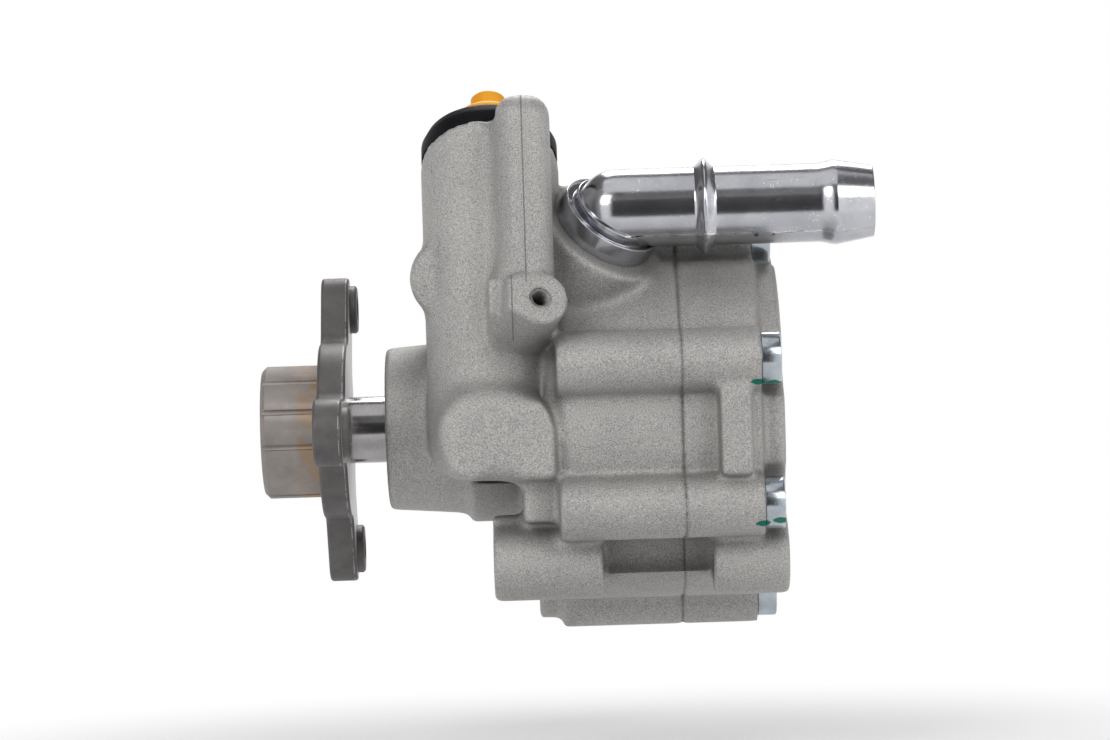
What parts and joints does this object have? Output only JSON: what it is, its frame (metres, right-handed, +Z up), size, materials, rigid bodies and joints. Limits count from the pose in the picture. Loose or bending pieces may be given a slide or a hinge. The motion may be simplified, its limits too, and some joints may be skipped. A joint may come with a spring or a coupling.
{
  "type": "power steering pump",
  "caption": "Vane pump for hydraulic power steering: cast housing with valve tower, three-armed drive hub, bolted rear cover and a bent suction pipe.",
  "frame": {"origin": "on the shaft axis, in the plane where a pulley seats on the hub plate", "axes": "+X along the shaft from the drive end to the rear cover, +Z up along the valve tower"},
  "size_m": [0.1553, 0.1087, 0.1376],
  "materials": {
    "cast_aluminium": "as cast, fine grain, slightly dull",
    "sintered_iron": "sintered, fine pores, faint brown cast",
    "ground_steel": "ground and polished",
    "zinc_bolts": "bluish zinc plate",
    "zinc_tube": "zinc plated tube, soft gloss",
    "black_union": "black, satin",
    "orange_plastic": "moulded, satin",
    "hardened_steel": "ground",
    "spring_steel": "oiled spring steel",
    "pressed_steel": "pressed sheet",
    "turned_steel": "turned",
    "bronze": "bearing bronze",
    "black_rubber": "moulded rubber"
  },
  "bodies": {
    "housing": {"front_housing": "cast_aluminium", "rear_cover": "cast_aluminium", "cover_bolts": "zinc_bolts", "cam_ring": "hardened_steel", "front_plate": "hardened_steel", "plate_spring": "spring_steel", "dowel_pins": "ground_steel", "rear_bush": "bronze", "bearing_outer_race": "ground_steel", "bearing_shields": "pressed_steel", "bearing_snap_ring": "spring_steel", "shaft_seal_case": "pressed_steel", "shaft_seal_lip": "black_rubber", "suction_elbow": "zinc_tube", "suction_o_ring": "black_rubber", "outlet_union": "black_union", "union_o_ring": "black_rubber", "valve_plug": "turned_steel", "valve_plug_o_ring": "black_rubber", "valve_spring": "spring_steel", "gallery_plug": "turned_steel", "plate_o_ring": "black_rubber", "cover_o_ring": "black_rubber"},
    "drive": {"drive_hub": "sintered_iron", "drive_shaft": "ground_steel", "rotor": "hardened_steel", "rotor_ring": "spring_steel", "bearing_inner_race": "ground_steel"},
    "ball_cage": {"bearing_cage": "pressed_steel", "bearing_balls": "ground_steel"},
    "spool": {"valve_spool": "turned_steel", "relief_screw": "turned_steel", "relief_spring": "spring_steel"},
    "ball_valve": {"relief_ball": "ground_steel"},
    "plug": {"transport_plug": "orange_plastic"},
    "vane_01": {"vane_01": "hardened_steel"},
    "vane_02": {"vane_02": "hardened_steel"},
    "vane_03": {"vane_03": "hardened_steel"},
    "vane_04": {"vane_04": "hardened_steel"},
    "vane_05": {"vane_05": "hardened_steel"},
    "vane_06": {"vane_06": "hardened_steel"},
    "vane_07": {"vane_07": "hardened_steel"},
    "vane_08": {"vane_08": "hardened_steel"},
    "vane_09": {"vane_09": "hardened_steel"},
    "vane_10": {"vane_10": "hardened_steel"}
  },
  "joints": [
    {"name": "shaft_spin", "type": "hinge", "parent": "housing", "child": "drive", "pos_m": [0, 0, 0], "axis": [1, 0, 0], "continuous": true},
    {"name": "cage_spin", "type": "hinge", "parent": "housing", "child": "ball_cage", "pos_m": [0, 0, 0], "axis": [1, 0, 0], "continuous": true},
    {"name": "spool_slide", "type": "slide", "parent": "housing", "child": "spool", "axis": [0, 0, -1], "range_m": [0, 0.005], "stiffness_N_per_m": 3000, "springref_m": -0.0004, "deforming": ["valve_spring"]},
    {"name": "relief_lift", "type": "slide", "parent": "spool", "child": "ball_valve", "axis": [0, 0, -1], "range_m": [0, 0.001], "stiffness_N_per_m": 200, "springref_m": -0.0001, "deforming": ["relief_spring"]},
    {"name": "plug_pull", "type": "slide", "parent": "housing", "child": "plug", "axis": [0, 0.5225, 0.8526], "range_m": [0, 0.014]},
    {"name": "vane_01_slide", "type": "slide", "parent": "drive", "child": "vane_01", "axis": [0, 1, 0], "range_m": [0, 0.00275]},
    {"name": "vane_02_slide", "type": "slide", "parent": "drive", "child": "vane_02", "axis": [0, 0.809, 0.5878], "range_m": [0, 0.0018]},
    {"name": "vane_03_slide", "type": "slide", "parent": "drive", "child": "vane_03", "axis": [0, 0.309, 0.9511], "range_m": [0, 0.00055]},
    {"name": "vane_04_slide", "type": "slide", "parent": "drive", "child": "vane_04", "axis": [0, -0.309, 0.9511], "range_m": [0, 0.00055]},
    {"name": "vane_05_slide", "type": "slide", "parent": "drive", "child": "vane_05", "axis": [0, -0.809, 0.5878], "range_m": [0, 0.0018]},
    {"name": "vane_06_slide", "type": "slide", "parent": "drive", "child": "vane_06", "axis": [0, -1, 0], "range_m": [0, 0.00275]},
    {"name": "vane_07_slide", "type": "slide", "parent": "drive", "child": "vane_07", "axis": [0, -0.809, -0.5878], "range_m": [0, 0.0018]},
    {"name": "vane_08_slide", "type": "slide", "parent": "drive", "child": "vane_08", "axis": [0, -0.309, -0.9511], "range_m": [0, 0.00055]},
    {"name": "vane_09_slide", "type": "slide", "parent": "drive", "child": "vane_09", "axis": [0, 0.309, -0.9511], "range_m": [0, 0.00055]},
    {"name": "vane_10_slide", "type": "slide", "parent": "drive", "child": "vane_10", "axis": [0, 0.809, -0.5878], "range_m": [0, 0.0018]}
  ],
  "couplings": [
    {"joint": "cage_spin", "follows": "shaft_spin", "ratio": 0.4085}
  ]
}
